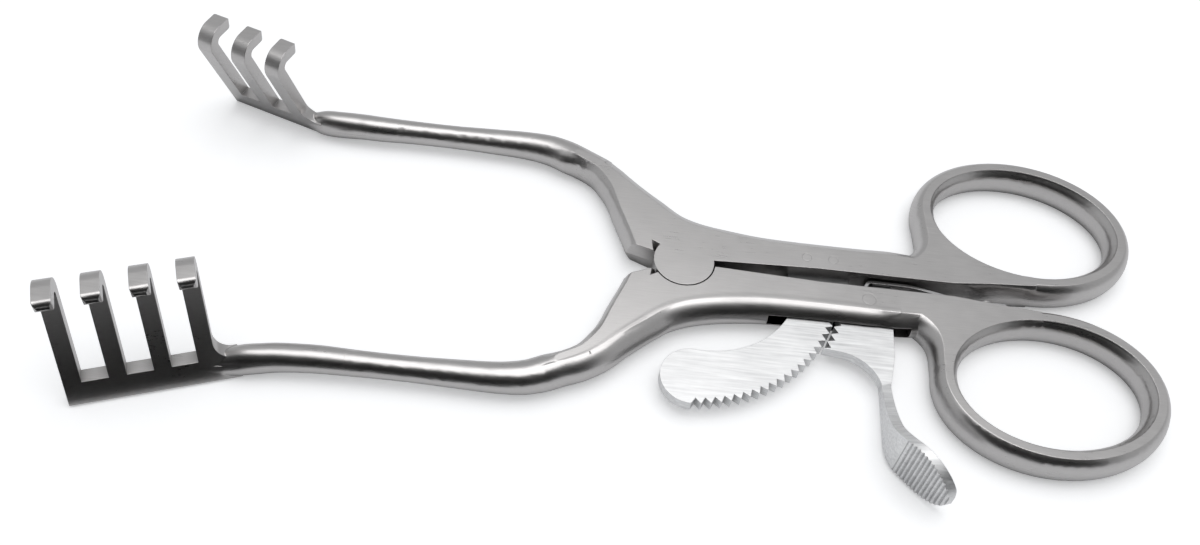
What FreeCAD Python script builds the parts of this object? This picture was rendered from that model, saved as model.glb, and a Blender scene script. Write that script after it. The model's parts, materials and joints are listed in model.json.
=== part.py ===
import FreeCAD, Part
import math
import os

from FreeCAD import Placement, Rotation, Vector

# Self retaining retractor: two forged arms hinged in a lap joint, prongs up, shown fully spread.
# The frame's origin is on the joint's axis, in its flat top face; +X runs along the centre line
# to the finger rings, the blades lie at -X, and the near arm (four prongs, lock) is at -Y.

os.makedirs("parts", exist_ok=True)
doc = FreeCAD.newDocument("Retractor")
sheet = doc.addObject("Spreadsheet::Sheet", "Sizes")

# Driving sizes in millimetres and degrees
sizes = {
    # forged arms
    "bodyThickness": 5.8,
    "shankTipRadius": 2.15,
    "shankWaistRadius": 2.0,
    "shankRootRadius": 2.8,
    "shankOffset": 24.2,
    "bladeKinkX": -60.0,
    "bladeBendRadius": 30.0,
    "sideBulge": 2.4,
    "cheekBulge": 1.2,
    "handleGapHalf": 1.35,
    "jointGapHalf": 0.6,
    "handleGapRampEnd": 22.0,
    # finger rings
    "ringCentreX": 58.4,
    "ringCentreOffset": 16.35,
    "ringHoleLength": 30.0,
    "ringHoleWidth": 21.7,
    "ringBarWidth": 3.9,
    "ringBarHeight": 6.03,
    "ringTilt": 4.0,
    "ringRootBend": 7.0,
    # lap joint
    "lobeRadius": 4.9,
    "lobeClearance": 0.2,
    "lapGap": 0.06,
    "shoulderAngle": 16.0,
    "closingTravel": 38.4,
    "closingStopMargin": 1.0,
    "screwRadius": 1.6,
    "screwHeadRadius": 3.0,
    "screwHeadDepth": 1.1,
    "screwEngagement": 2.0,
    "screwSlotWidth": 0.7,
    "screwSlotDepth": 0.6,
    "runningClearance": 0.05,
    # blades and prongs
    "bladeAngle": 19.2,
    "bladeThickness": 2.0,
    "bladeBarHeight": 3.9,
    "bladeLean": 20.9,
    "bladeBottomBevel": 0.4,
    "bladeRootFillet": 2.6,
    "prongPitch": 6.2,
    "prongWidth": 2.5,
    "prongHeight": 21.0,
    "hookBendRadius": 1.85,
    "hookTurn": 113.5,
    "hookTipLength": 2.0,
    "hookTipRound": 0.7,
    "nearProngCount": 4,
    "farProngCount": 3,
    "nearBladeReach": 68.3,
    "farBladeReach": 65.4,
    # ratchet bar
    "ratchetThickness": 1.9,
    "ratchetTipRadius": 25.7,
    "ratchetToothDepth": 1.0,
    "ratchetToothPitch": 3.5,
    "ratchetToothCount": 20,
    "ratchetFirstTooth": 86.0,
    "ratchetNoseAngle": 84.8,
    "ratchetBackRadius": 16.1,
    "ratchetBackCentreX": 2.9,
    "ratchetRootLeft": 17.4,
    "ratchetRootRight": 27.4,
    "ratchetRootDepth": 4.2,
    "rivetRadius": 0.8,
    "rivetSpacing": 4.4,
    "rivetInset": 2.1,
    # lock slot and release lever
    "slotStartX": 13.9,
    "slotEndX": 37.0,
    "slotHeight": 2.5,
    "leverPivotX": 30.0,
    "leverPivotOffset": 3.85,
    "leverPinRadius": 1.1,
    "leverHubRadius": 2.9,
    "leverPlateWidth": 8.6,
    "leverPlateDepth": 9.3,
    "leverToothCount": 4,
    "leverToothGap": 0.28,
    "leverTailReach": 4.3,
    "leverTailWidth": 3.0,
    "thumbArmThickness": 1.45,
    "thumbArmLength": 11.5,
    "thumbArmBend": 7.0,
    "thumbPadLength": 10.2,
    "thumbPadHeight": 9.0,
    "thumbPadGrooveCount": 15,
    "thumbPadGrooveDepth": 0.25,
    # leaf spring
    "springThickness": 0.5,
    "springHeight": 3.2,
    "springRootX": 53.0,
    "springScrewX": 50.3,
    "springScrewRadius": 0.8,
    "springScrewHeadRadius": 1.35,
    "springScrewHeadHeight": 0.6,
    "springScrewDepth": 2.6,
}


def fillSheet():
    for row, (alias, value) in enumerate(sizes.items(), start=1):
        cell = "A%d" % row
        sheet.set(cell, str(value))
        sheet.setAlias(cell, alias)
    doc.recompute()


def size(alias):
    return float(sheet.get(alias))


def bind(obj, **expressions):
    for prop, expression in expressions.items():
        obj.setExpression(prop, expression)
    return obj


fillSheet()
halfThickness = size("bodyThickness") / 2
under = -size("bodyThickness")
middle = -halfThickness
near = -1.0
far = 1.0
up = Vector(0, 0, 1)


def feature(name, shape):
    obj = doc.addObject("Part::Feature", name)
    obj.Shape = shape
    obj.Placement = shape.Placement
    return obj


# Upright cylinder that stands on the underside's plane
def cylinder(name, radius, height, x=0.0, y=0.0):
    obj = doc.addObject("Part::Cylinder", name)
    bind(obj, Radius=radius, Height=height)
    obj.Placement = Placement(Vector(x, y, under), Rotation())
    return obj


def fuse(name, *parts):
    obj = doc.addObject("Part::MultiFuse", name)
    obj.Shapes = list(parts)
    obj.Refine = False
    return obj


def cut(name, base, tool):
    obj = doc.addObject("Part::Cut", name)
    obj.Base = base
    obj.Tool = tool
    obj.Refine = False
    return obj


def heading(angle):
    radians = math.radians(angle)
    return Vector(math.cos(radians), math.sin(radians), 0)


# Section of a forged bar across its heading, in two halves. Power 2 makes an ellipse, and a lower
# power makes sides that leave the ground flats at a steeper angle.
def barSection(centre, direction, leftWidth, rightWidth, halfHeight, lean=0.0, power=2.0):
    leftwards = Rotation(direction, lean).multVec(up.cross(direction).normalize())
    upright = direction.cross(leftwards)
    halves = []
    for first, width in ((-90, leftWidth), (90, rightWidth)):
        points = []
        for step in range(9):
            angle = math.radians(first + 22.5 * step)
            reach = math.copysign(abs(math.cos(angle)) ** (2 / power), math.cos(angle)) if step % 8 else 0.0
            points.append(centre + leftwards * reach * width + upright * math.sin(angle) * halfHeight)
        curve = Part.BSplineCurve()
        turn = leftwards if first < 0 else leftwards * -1
        shares = [step / 8 for step in range(9)]
        curve.interpolate(points, InitialTangent=turn, FinalTangent=turn * -1, Parameters=shares)
        halves.append(curve.toShape())
    return Part.Wire(halves)


def ellipseWire(centre, direction, halfWidth, halfHeight, lean=0.0):
    return barSection(centre, direction, halfWidth, halfWidth, halfHeight, lean)


# Half-height of the section that the two ground flats cut to a flat of the given width
def groundHalfHeight(flatWidth, bulge, power):
    share = flatWidth / (flatWidth + bulge)
    return halfThickness / math.sqrt(1 - share ** power)


# A spine of straight runs with tangent arcs at its corners
class Spine:
    def __init__(self, points, radii):
        self.pieces = []
        start = points[0]
        for before, corner, after, radius in zip(points, points[1:], points[2:], radii):
            into = (corner - before).normalize()
            away = (after - corner).normalize()
            turn = into.getAngle(away)
            reach = radius * math.tan(turn / 2)
            self.pieces.append((start, corner - into * reach, into, None, 0.0))
            side = 1.0 if into.cross(away).z > 0 else -1.0
            self.pieces.append((corner - into * reach, corner + away * reach, into, side * radius, turn))
            start = corner + away * reach
        last = (points[-1] - points[-2]).normalize()
        self.pieces.append((start, points[-1], last, None, 0.0))

    def length(self, index):
        start, end, into, radius, turn = self.pieces[index]
        return start.distanceToPoint(end) if radius is None else abs(radius) * turn

    # Distance along the spine to a share of one piece, and back
    def station(self, index, share):
        return sum(self.length(before) for before in range(index)) + self.length(index) * share

    def atStation(self, station):
        index = 0
        while index < len(self.pieces) - 1 and station > self.length(index):
            station -= self.length(index)
            index += 1
        return self.at(index, min(1.0, station / self.length(index)))

    # Point and heading at a share (0 to 1) of one piece
    def at(self, index, share):
        start, end, into, radius, turn = self.pieces[index]
        if radius is None:
            return start + (end - start) * share, into
        centre = start + up.cross(into) * radius
        spin = Rotation(up, math.degrees(turn) * share * (1 if radius > 0 else -1))
        return centre + spin.multVec(start - centre), spin.multVec(into)


# Blades: the origin of a blade is the end of its bar, at the shank
def bladeFrame(side, reach):
    angle = math.radians(size("bladeAngle"))
    kinkX = size("bladeKinkX")
    run = (reach + kinkX) / math.cos(angle)
    origin = Vector(-reach, side * (size("shankOffset") + run * math.sin(angle)), 0)
    inward = Vector(math.cos(angle), -side * math.sin(angle), 0)
    outward = Vector(math.sin(angle), side * math.cos(angle), 0)
    return origin, inward, outward


# Centre line of the hooked prong in (outward, up), with its arc given by start, middle and end
def hookPath():
    lean = math.radians(size("bladeLean"))
    half = size("bladeThickness") / 2
    bend = size("hookBendRadius")
    rise = size("prongHeight") - half - bend - bend * math.sin(lean)
    start = Vector(-rise * math.tan(lean), rise, 0)
    centre = start + Vector(math.cos(lean), math.sin(lean), 0) * bend
    turn = size("hookTurn")
    spoke = start - centre
    arcMiddle = centre + Rotation(up, -turn / 2).multVec(spoke)
    arcEnd = centre + Rotation(up, -turn).multVec(spoke)
    tangent = Rotation(up, -turn).multVec(Vector(-math.sin(lean), math.cos(lean), 0))
    return start, arcMiddle, arcEnd, arcEnd + tangent * size("hookTipLength")


def bladeShape(side, reach, count):
    origin, inward, outward = bladeFrame(side, reach)
    start, arcMiddle, arcEnd, tip = hookPath()
    path = Part.Wire([
        Part.LineSegment(Vector(0, 0, 0), start).toShape(),
        Part.Arc(start, arcMiddle, arcEnd).toShape(),
        Part.LineSegment(arcEnd, tip).toShape()])
    thickness = size("bladeThickness")
    face = path.makeOffset2D(thickness / 2, 0, True, False, False)
    length = size("prongPitch") * (count - 1) + size("prongWidth")
    fillet = size("bladeRootFillet")
    buried = fillet + 0.6
    plate = face.extrude(Vector(0, 0, length + buried))
    plate.translate(Vector(0, 0, -buried))
    gap = size("prongPitch") - size("prongWidth")
    tall = size("prongHeight") * 2
    barHeight = size("bladeBarHeight")
    for index in range(count - 1):
        left = size("prongWidth") + size("prongPitch") * index
        window = Part.makeBox(tall, tall, gap, Vector(-tall / 2, barHeight, left))
        plate = plate.cut(window)
    floor = Part.makeBox(tall, tall, 3 * length, Vector(-tall / 2, -tall, -length))
    plate = plate.cut(floor).cut(rootFilletTool(barHeight, fillet, buried, tall))
    for index in range(count):
        left = size("prongPitch") * index
        plate = plate.cut(tipCornerTool(arcEnd, tip, left, 1))
        plate = plate.cut(tipCornerTool(arcEnd, tip, left + size("prongWidth"), -1))
    plate = plate.makeChamfer(size("bladeBottomBevel"), bottomEdges(plate, length))
    # local (outward, up, along) to the frame; the plate grows from the shank to the blade's end
    along = inward * -1
    frame = FreeCAD.Matrix(
        outward.x, 0, along.x, origin.x,
        outward.y, 0, along.y, origin.y,
        0, 1, 0, under,
        0, 0, 0, 1)
    return plate.transformGeometry(frame)


# What is cut away behind the last prong, so that it runs into the shank in a hollow curve
def rootFilletTool(barHeight, fillet, buried, tall):
    low = Vector(0, barHeight, -fillet)
    middlePoint = Vector(0, barHeight + fillet * (1 - math.sqrt(0.5)), -fillet * (1 - math.sqrt(0.5)))
    high = Vector(0, barHeight + fillet, 0)
    corners = [high, Vector(0, tall, 0), Vector(0, tall, -2 * buried), Vector(0, barHeight, -2 * buried), low]
    edges = [Part.Arc(low, middlePoint, high).toShape()]
    for first, last in zip(corners, corners[1:]):
        edges.append(Part.LineSegment(first, last).toShape())
    tool = Part.Face(Part.Wire(edges)).extrude(Vector(tall, 0, 0))
    tool.translate(Vector(-tall / 2, 0, 0))
    return tool


# What is cut from one corner of a hook's tip to round it; inwards is +1 or -1 along the blade
def tipCornerTool(arcEnd, tip, along, inwards):
    radius = size("hookTipRound")
    thickness = size("bladeThickness")
    forward = (tip - arcEnd).normalize()
    across = Vector(-forward.y, forward.x, 0)
    corner = tip + forward * (thickness / 2) + Vector(0, 0, along) - across * thickness
    sideways = Vector(0, 0, inwards)
    high = corner + sideways * radius
    low = corner - forward * radius
    share = 1 - math.sqrt(0.5)
    between = corner + (sideways - forward) * (radius * share)
    beyond = forward * 0.2
    aside = sideways * -0.2
    edges = [
        Part.Arc(low, between, high).toShape(),
        Part.LineSegment(high, high + beyond).toShape(),
        Part.LineSegment(high + beyond, corner + beyond + aside).toShape(),
        Part.LineSegment(corner + beyond + aside, low + aside).toShape(),
        Part.LineSegment(low + aside, low).toShape()]
    return Part.Face(Part.Wire(edges)).extrude(across * (2 * thickness))


def bottomEdges(plate, length):
    return [edge for edge in plate.Edges
            if edge.BoundBox.YMax < 0.001 and edge.Length > length and edge.CenterOfMass.x > 0]


# Values between given stations, without overshoot
def smoothTable(stations, values):
    steps = [after - before for before, after in zip(stations, stations[1:])]
    slopes = [(after - before) / step for before, after, step in zip(values, values[1:], steps)]
    tangents = [slopes[0]]
    for left, right in zip(slopes, slopes[1:]):
        tangents.append(2 * left * right / (left + right) if left * right > 0 else 0.0)
    tangents.append(slopes[-1])

    def valueAt(station):
        index = 0
        while index < len(steps) - 1 and station > stations[index + 1]:
            index += 1
        step = steps[index]
        share = (station - stations[index]) / step
        rise = values[index + 1] - values[index]
        bow = share * (1 - share) * step
        ease = share * share * (3 - 2 * share)
        return (values[index] + rise * ease
                + bow * ((1 - share) * tangents[index] - share * tangents[index + 1]))

    return valueAt


# Ground stations of the yoke and handle: x, distance from the centre line, width of the flat on
# the side of the joint and on the outer side, bulge of the outer side, power of the section
groundStations = [
    (-17.4, 20.6, 0.55, 0.85, 2.2, 1.8),
    (-15.1, 19.0, 0.6, 1.15, 2.3, 1.6),
    (-12.9, 16.5, 0.8, 1.6, 2.4, 1.4),
    (-11.7, 14.9, 1.0, 2.0, 2.4, 1.25),
    (-10.0, 12.2, 1.5, 3.1, 2.4, 1.15),
    (-8.0, 9.2, 1.9, 4.1, 2.4, 1.15),
    (-5.2, 6.3, 2.1, 4.4, 2.4, 1.15),
    (-2.0, 4.4, 2.1, 4.4, 2.4, 1.15),
    (2.0, 3.2, 2.1, 4.3, 2.4, 1.15),
    (7.0, 2.6, 1.9, 4.05, 2.4, 1.15),
    (13.0, 2.35, 1.6, 3.6, 2.4, 1.15),
    (20.0, 2.3, 1.6, 3.45, 2.4, 1.15),
    (28.0, 2.3, 1.6, 3.45, 2.4, 1.15),
    (34.0, 2.4, 1.6, 3.5, 2.4, 1.15),
    (42.0, 2.8, 1.6, 2.6, 1.8, 1.3),
    (50.0, 3.2, 1.2, 1.3, 0.7, 1.6),
    (58.4, 3.45, 0.9, 0.9, 0.7, 1.8)]


# The bar from the blade, along the shank and the yoke, to the ring's root
def barShape(side, reach):
    origin, inward, outward = bladeFrame(side, reach)
    offset = size("shankOffset")
    kink = size("bladeKinkX")
    barHalf = size("bladeBarHeight") / 2
    thin = size("bladeThickness") / 2
    tip = size("shankTipRadius")
    waist = size("shankWaistRadius")
    root = size("shankRootRadius")
    slope = math.radians(size("bladeAngle"))
    bendRun = size("bladeBendRadius") * math.tan(slope / 2)
    endX = -reach - 1.0
    # x, distance from the centre line, inner and outer width, half-height, power
    rows = []

    def onBlade(x):
        return offset + (kink - x) * math.tan(slope)

    swellX = endX + 0.4 * (kink - endX)
    rows.append((endX, onBlade(endX), thin * 0.95, thin * 0.95, barHalf * 0.95, 2.0))
    rows.append((swellX, onBlade(swellX), thin * 1.5, thin * 1.5, barHalf * 1.02, 2.0))
    rows.append((kink + 0.07, offset + 0.42, tip, tip, tip, 2.0))
    rows.append((kink + bendRun, offset, tip, tip, tip, 2.0))
    rows.append((-47.0, offset, waist, waist, waist, 2.0))
    rows.append((-40.0, offset, waist, waist, waist, 2.0))
    rows.append((-33.0, offset, waist + 0.2, waist + 0.2, waist + 0.2, 2.0))
    rows.append((-27.5, offset - 0.1, root - 0.4, root - 0.4, root - 0.4, 2.0))
    rows.append((-23.5, offset - 0.65, root - 0.18, root - 0.18, root - 0.18, 2.0))
    rows.append((-20.2, offset - 1.85, root, root, root, 2.0))
    for x, away, flatIn, flatOut, bulge, power in groundStations:
        halfHeight = groundHalfHeight(flatOut, bulge, power)
        spread = (flatOut + bulge) / flatOut
        rows.append((x, away, flatIn * spread, flatOut + bulge, halfHeight, power))
    path = Part.BSplineCurve()
    path.interpolate([Vector(row[0], side * row[1], middle) for row in rows])
    knots = [path.parameter(Vector(row[0], side * row[1], middle)) for row in rows]
    columns = [smoothTable(knots, [row[index] for row in rows]) for index in range(2, 6)]
    sections = []
    bladeRun = knots[3]
    for first, last in zip(knots, knots[1:]):
        for station in (first, (first + last) / 2):
            sections.append(stationSection(path, station, columns, side, bladeRun, barHalf, outward))
    sections.append(stationSection(path, knots[-1], columns, side, bladeRun, barHalf, outward))
    return Part.makeLoft(sections, True, False)


def stationSection(path, station, columns, side, bladeRun, barHalf, outward):
    inner, outer, halfHeight, power = [column(station) for column in columns]
    left = max(0.0, 1 - station / bladeRun)
    lean = size("bladeLean") * left
    drop = (halfThickness - barHalf) * left
    shift = barHalf * math.tan(math.radians(size("bladeLean"))) * left
    centre = path.value(station) - up * drop - outward * shift
    direction = Vector(*path.tangent(station)[0])
    leftWidth, rightWidth = (inner, outer) if side < 0 else (outer, inner)
    return barSection(centre, direction, leftWidth, rightWidth, halfHeight, side * lean, power)


# The cheek of the yoke, beside the joint, where the two arms meet when they close
def cheekShape(side):
    rows = [(-15.4, 20.2, 0.6), (-12.9, 17.3, 0.8), (-11.1, 14.5, 1.1), (-10.0, 12.3, 1.5),
            (-8.95, 9.4, 1.5), (-7.8, 6.6, 1.5), (-6.8, 3.8, 1.5), (-6.1, 0.5, 1.5)]
    path = Part.BSplineCurve()
    path.interpolate([Vector(x, side * away, middle) for x, away, flat in rows])
    bulge = size("cheekBulge")
    sections = []
    for x, away, flat in rows:
        station = path.parameter(Vector(x, side * away, middle))
        direction = Vector(*path.tangent(station)[0])
        halfHeight = groundHalfHeight(flat, bulge, 1.15)
        spread = (flat + bulge) / flat
        inner = flat * spread
        outer = 1.4 * spread
        leftWidth, rightWidth = (inner, outer) if side < 0 else (outer, inner)
        sections.append(barSection(path.value(station), direction, leftWidth, rightWidth, halfHeight, 0.0, 1.15))
    return Part.makeLoft(sections, True, False)


def ringShape(side):
    barHalf = size("ringBarWidth") / 2
    along = size("ringHoleLength") / 2 + barHalf
    wide = size("ringHoleWidth") / 2 + barHalf
    centre = Vector(size("ringCentreX"), side * size("ringCentreOffset"), middle)
    tilt = -side * size("ringTilt")
    path = Part.Ellipse(Vector(0, 0, 0), along, wide).toShape()
    path.Placement = Placement(centre, Rotation(up, tilt))
    start = centre + heading(tilt) * along
    section = ellipseWire(start, up.cross(heading(tilt)), barHalf, size("ringBarHeight") / 2)
    return Part.Wire([path]).makePipeShell([section], True, True)


# Curved root that blends the outer side of the handle into the ring
def ringRootShape(side):
    barHalf = size("ringBarWidth") / 2
    bend = size("ringRootBend")
    along = size("ringHoleLength") / 2 + barHalf
    left = size("ringCentreX") - along
    start = Vector(left - bend * 1.35, side * 3.95, middle)
    corner = Vector(left + bend * 0.12, start.y, middle)
    end = Vector(left + 0.1, side * size("ringCentreOffset") * 0.92, middle)
    spine = Spine([start, corner, end], [bend])
    sections = []
    for piece, share, width in ((0, 0.0, 1.0), (1, 0.0, 1.2), (1, 0.35, 1.3), (1, 0.7, 1.2), (1, 1.0, 1.05), (2, 1.0, 0.95)):
        centre, direction = spine.at(piece, share)
        sections.append(ellipseWire(centre, direction, barHalf * width, size("ringBarHeight") / 2))
    return Part.makeLoft(sections, True, False)


# Flat web that fills the corner between the handle, the ring and its root
def ringWebShape(side):
    barHalf = size("ringBarWidth") / 2
    along = size("ringHoleLength") / 2 + barHalf
    wide = size("ringHoleWidth") / 2 + barHalf
    centre = Vector(size("ringCentreX"), side * size("ringCentreOffset"), 0)
    turn = Rotation(up, -side * size("ringTilt"))
    points = []
    for angle in (195, 205, 215, 225, 235, 245, 255, 263):
        spot = Vector(along * math.cos(math.radians(angle)), side * wide * math.sin(math.radians(angle)), 0)
        points.append(centre + turn.multVec(spot))
    left = centre.x - along
    points.append(Vector(points[-1].x, side * 2.6, 0))
    points.append(Vector(left - 7.5, side * 2.6, 0))
    points.append(Vector(left - 6.0, side * 4.0, 0))
    points.append(Vector(left - 2.9, side * 5.2, 0))
    points.append(Vector(left - 0.9, side * 7.6, 0))
    points.append(Vector(left - 0.1, side * 10.5, 0))
    points.append(points[0])
    web = Part.Face(Part.makePolygon(points)).extrude(Vector(0, 0, under))
    return web


# Plan region that an arm keeps in one layer of the lap joint
def keepRegion(side, shoulder, z0, z1):
    wide = 120.0
    ramp = size("handleGapRampEnd")
    points = [
        Vector(0, 0, 0),
        Vector(-wide * math.cos(math.radians(shoulder)), side * wide * math.sin(math.radians(shoulder)), 0),
        Vector(-wide, side * wide, 0),
        Vector(wide, side * wide, 0),
        Vector(wide, side * size("handleGapHalf"), 0),
        Vector(ramp, side * size("handleGapHalf"), 0),
        Vector(size("lobeRadius"), side * size("jointGapHalf"), 0),
        Vector(0, 0, 0)]
    region = Part.Face(Part.makePolygon(points)).extrude(Vector(0, 0, z1 - z0))
    region.translate(Vector(0, 0, z0))
    return region


# A forged arm, ground flat on both sides: its lobe fills one layer of the joint, and the other
# layer is open for the other arm
def armShape(side, reach, prongs, lobeOnTop):
    split = middle + size("lapGap") / 2 * (1 if lobeOnTop else -1)
    lowLayer = (under, split)
    highLayer = (split, 0.0)
    lobeLayer, openLayer = (highLayer, lowLayer) if lobeOnTop else (lowLayer, highLayer)
    lobeShoulder = size("shoulderAngle")
    openShoulder = size("closingTravel") + size("closingStopMargin") - lobeShoulder
    forms = [ringShape(near), ringRootShape(near), ringWebShape(near), cheekShape(near), barShape(near, reach)]
    lobeHalf = keptForms(forms, keepRegion(near, lobeShoulder, *lobeLayer))
    lobeHalf = lobeHalf.fuse(layerDisc(size("lobeRadius"), lobeLayer))
    openHalf = keptForms(forms, keepRegion(near, openShoulder, *openLayer))
    openHalf = openHalf.cut(layerDisc(size("lobeRadius") + size("lobeClearance"), openLayer))
    arm = lobeHalf.fuse(openHalf).fuse(bladeShape(near, reach, prongs))
    # the far arm has the same forging, mirrored across the centre line
    return arm if side == near else arm.mirror(Vector(0, 0, 0), Vector(0, 1, 0))


def keptForms(forms, region):
    kept = forms[0].common(region)
    for form in forms[1:]:
        kept = kept.fuse(form.common(region))
    return kept


def layerDisc(radius, layer):
    return Part.makeCylinder(radius, layer[1] - layer[0], Vector(0, 0, layer[0]))


def originFeature(body, role):
    return next(item for item in body.Origin.OriginFeatures if item.Role == role)


def sketchOn(body, name, height):
    sketch = body.newObject("Sketcher::SketchObject", name)
    sketch.AttachmentSupport = (originFeature(body, "XY_Plane"), [""])
    sketch.MapMode = "FlatFace"
    sketch.AttachmentOffset = Placement(Vector(0, 0, height), Rotation())
    return sketch


def padOf(body, sketch, length):
    pad = body.newObject("PartDesign::Pad", sketch.Name + "_pad")
    pad.Profile = sketch
    bind(pad, Length=length)
    return pad


def polar(radius, angle):
    return heading(angle) * radius


# One V notch in a sketch, its mouth on the tooth tips' circle; depth is negative towards the joint
def notchSketch(body, name, angle, tipRadius, depth):
    sketch = sketchOn(body, name, middle + size("ratchetThickness"))
    half = size("ratchetToothPitch") * 0.47
    mouth = tipRadius - depth * 0.3
    corners = [
        polar(mouth, angle - half * 1.3),
        polar(mouth, angle + half * 1.3),
        polar(tipRadius + depth, angle)]
    for first, last in zip(corners, corners[1:] + corners[:1]):
        sketch.addGeometry(Part.LineSegment(first, last), False)
    return sketch


def notchPattern(body, sketch, count):
    pocket = body.newObject("PartDesign::Pocket", sketch.Name + "_cut")
    pocket.Profile = sketch
    bind(pocket, Length="3 * Sizes.ratchetThickness")
    doc.recompute()
    pattern = body.newObject("PartDesign::PolarPattern", sketch.Name + "_pattern")
    pattern.Originals = [pocket]
    pattern.Axis = (originFeature(body, "Z_Axis"), [""])
    bind(pattern, Occurrences=count, Angle="Sizes.ratchetToothPitch * (%s - 1)" % count)
    body.Tip = pattern
    return pattern


# Toothed sector, concentric with the joint, whose wide root sits in the far handle
def makeRatchet():
    body = doc.addObject("PartDesign::Body", "ratchet_blank")
    sketch = sketchOn(body, "ratchet_outline", middle - size("ratchetThickness") / 2)
    tip = size("ratchetTipRadius")
    backCentre = Vector(size("ratchetBackCentreX"), 0, 0)
    backRadius = size("ratchetBackRadius")
    noseAngle = -size("ratchetNoseAngle")
    nose = (tip + noseRadiusInner()) / 2
    noseRadius = tip - nose
    noseCentre = polar(nose, noseAngle)
    left = size("ratchetRootLeft")
    right = size("ratchetRootRight")
    top = size("handleGapHalf") + size("ratchetRootDepth")
    tipEnd = polar(tip, -8.0)
    backTop = Vector(left, -math.sqrt(backRadius ** 2 - (left - backCentre.x) ** 2), 0)
    backEnd = noseCentre + (backCentre - noseCentre).normalize() * noseRadius
    backMiddle = backCentre + (backTop + backEnd - backCentre * 2).normalize() * backRadius
    noseMiddle = noseCentre + (polar(1, noseAngle - 90)) * noseRadius
    tipMiddle = polar(tip, (noseAngle - 8.0) / 2)
    shoulder = Vector(right, -size("handleGapHalf") + 0.4, 0)
    outline = [
        Part.Arc(polar(tip, noseAngle), tipMiddle, tipEnd),
        Part.LineSegment(tipEnd, shoulder),
        Part.LineSegment(shoulder, Vector(right, top, 0)),
        Part.LineSegment(Vector(right, top, 0), Vector(left, top, 0)),
        Part.LineSegment(Vector(left, top, 0), backTop),
        Part.Arc(backTop, backMiddle, backEnd),
        Part.Arc(backEnd, noseMiddle, polar(tip, noseAngle))]
    for edge in outline:
        sketch.addGeometry(edge, False)
    padOf(body, sketch, "Sizes.ratchetThickness")
    firstNotch = -size("ratchetFirstTooth") + size("ratchetToothPitch") / 2
    notch = notchSketch(body, "ratchet_notch", firstNotch, tip, -size("ratchetToothDepth"))
    notchPattern(body, notch, "Sizes.ratchetToothCount")
    return body


# Radius from the joint to the back edge at the rounded nose
def noseRadiusInner():
    return size("ratchetBackRadius") - size("ratchetBackCentreX") * math.cos(math.radians(size("ratchetNoseAngle")))


# Flat plate of the release lever: teeth, hub round the pin, tail under the spring
def makeLeverPlate():
    body = doc.addObject("PartDesign::Body", "lever_plate")
    sketch = sketchOn(body, "lever_outline", middle - size("ratchetThickness") / 2)
    pivot = leverPivot()
    tips = size("ratchetTipRadius") + size("leverToothGap")
    pitch = size("ratchetToothPitch")
    last = -size("ratchetFirstTooth") + pitch * size("ratchetToothCount")
    first = last - pitch * size("leverToothCount")
    hub = size("leverHubRadius")
    toothTop = polar(tips, last)
    toothBottom = polar(tips, first)
    toHub = pivot - toothTop
    reach = math.degrees(math.acos(hub / toHub.Length))
    hubLeft = pivot + Rotation(up, -reach).multVec(toHub * -1).normalize() * hub
    tailLeft = pivot.x + 1.4
    tailRight = tailLeft + size("leverTailWidth")
    tailTop = pivot.y + size("leverTailReach")
    hubTop = Vector(tailLeft, pivot.y + math.sqrt(hub ** 2 - 1.4 ** 2), 0)
    hubMiddle = pivot + (hubLeft + hubTop - pivot * 2).normalize() * hub
    waist = Vector(tailRight - 0.5, pivot.y - size("leverPlateDepth"), 0)
    neck = thumbNeck()
    half = size("thumbArmThickness") / 2
    neckRight = neck + Vector(half, 0, 0)
    neckLeft = neck - Vector(half, 0, 0)
    inner = toothBottom + Vector(3.2, -0.4, 0)
    bellyMiddle = (inner + neckLeft) / 2 + Vector(0.75, 0.9, 0)
    outline = [
        Part.Arc(toothBottom, polar(tips, (first + last) / 2), toothTop),
        Part.LineSegment(toothTop, hubLeft),
        Part.Arc(hubLeft, hubMiddle, hubTop),
        Part.LineSegment(hubTop, Vector(tailLeft, tailTop, 0)),
        Part.LineSegment(Vector(tailLeft, tailTop, 0), Vector(tailRight, tailTop, 0)),
        Part.LineSegment(Vector(tailRight, tailTop, 0), waist),
        Part.LineSegment(waist, neckRight),
        Part.LineSegment(neckRight, neckLeft),
        Part.Arc(neckLeft, bellyMiddle, inner),
        Part.LineSegment(inner, toothBottom)]
    for edge in outline:
        sketch.addGeometry(edge, False)
    padOf(body, sketch, "Sizes.ratchetThickness")
    notch = notchSketch(body, "lever_notch", first + pitch / 2, tips, size("ratchetToothDepth"))
    notchPattern(body, notch, "Sizes.leverToothCount")
    return body


def leverPivot():
    return Vector(size("leverPivotX"), -size("leverPivotOffset"), 0)


def thumbNeck():
    return leverPivot() + Vector(2.1, -size("leverPlateDepth") - 5.6, 0)


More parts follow.
